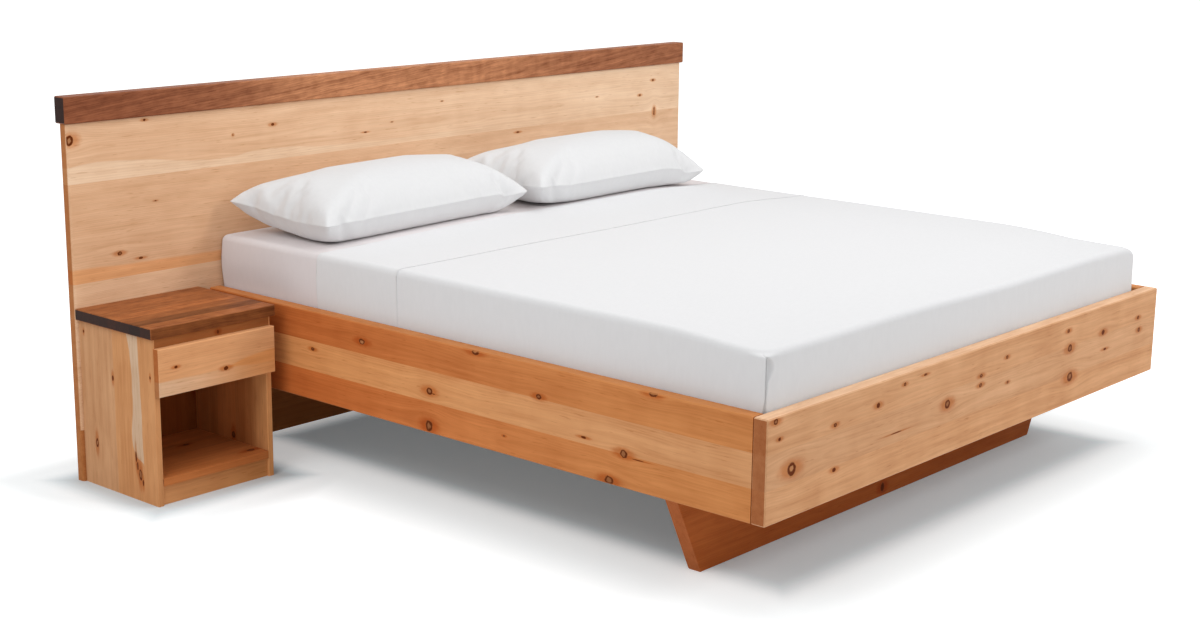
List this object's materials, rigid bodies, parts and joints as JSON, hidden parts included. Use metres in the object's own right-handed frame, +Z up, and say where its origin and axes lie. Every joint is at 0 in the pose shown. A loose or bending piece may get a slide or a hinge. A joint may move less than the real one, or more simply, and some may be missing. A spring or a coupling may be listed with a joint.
{
  "type": "bed",
  "caption": "Low platform bed in knotty softwood with a wide walnut-capped headboard, a bedside cabinet with a drawer and open niche, a mattress, sheets and pillows.",
  "frame": {"origin": "middle of the object's footprint, on the floor", "axes": "+X along the headboard, to the right seen from the foot; +Y from foot to head; +Z up"},
  "size_m": [2.718, 2.123, 1.112],
  "materials": {
    "knotty_softwood": "oiled, satin",
    "base_timber": "sawn and planed",
    "walnut": "oiled, satin",
    "steel": "zinc plated",
    "glide": "moulded",
    "ticking": "woven ticking",
    "bed_linen": "plain woven cotton",
    "pillow_linen": "plain woven cotton"
  },
  "bodies": {
    "frame": {"beam_hangers": "steel", "cabinet_back": "knotty_softwood", "cabinet_divider": "knotty_softwood", "cabinet_kickboard": "knotty_softwood", "cabinet_shelf": "knotty_softwood", "cabinet_side_left": "knotty_softwood", "cabinet_side_right": "knotty_softwood", "cabinet_top": "walnut", "cabinet_top_rail": "knotty_softwood", "centre_beam": "base_timber", "centre_leg": "base_timber", "centre_leg_glide": "glide", "corner_brackets": "steel", "drawer_kickers": "knotty_softwood", "fitted_sheet": "bed_linen", "flat_sheet": "bed_linen", "footboard_lower": "knotty_softwood", "footboard_middle": "knotty_softwood", "footboard_upper": "knotty_softwood", "headboard_board_1": "knotty_softwood", "headboard_board_2": "knotty_softwood", "headboard_board_3": "knotty_softwood", "headboard_board_4": "knotty_softwood", "headboard_board_5": "knotty_softwood", "headboard_cap": "walnut", "ledger_left": "base_timber", "ledger_right": "base_timber", "leg_board": "knotty_softwood", "leg_cleat_left": "base_timber", "leg_cleat_right": "base_timber", "mattress": "ticking", "pillow_left": "pillow_linen", "pillow_right": "pillow_linen", "rail_left_lower": "knotty_softwood", "rail_left_middle": "knotty_softwood", "rail_left_upper": "knotty_softwood", "rail_right_lower": "knotty_softwood", "rail_right_middle": "knotty_softwood", "rail_right_upper": "knotty_softwood", "slat_01": "base_timber", "slat_02": "base_timber", "slat_03": "base_timber", "slat_04": "base_timber", "slat_05": "base_timber", "slat_06": "base_timber", "slat_07": "base_timber", "slat_08": "base_timber", "slat_09": "base_timber", "slat_10": "base_timber", "slat_11": "base_timber", "slat_12": "base_timber"},
    "drawer": {"drawer_back": "knotty_softwood", "drawer_bottom": "knotty_softwood", "drawer_front": "knotty_softwood", "drawer_side_left": "knotty_softwood", "drawer_side_right": "knotty_softwood", "drawer_stop": "knotty_softwood"}
  },
  "joints": [
    {"name": "drawer_slide", "type": "slide", "parent": "frame", "child": "drawer", "axis": [0, -1, 0], "range_m": [0, 0.253]}
  ]
}
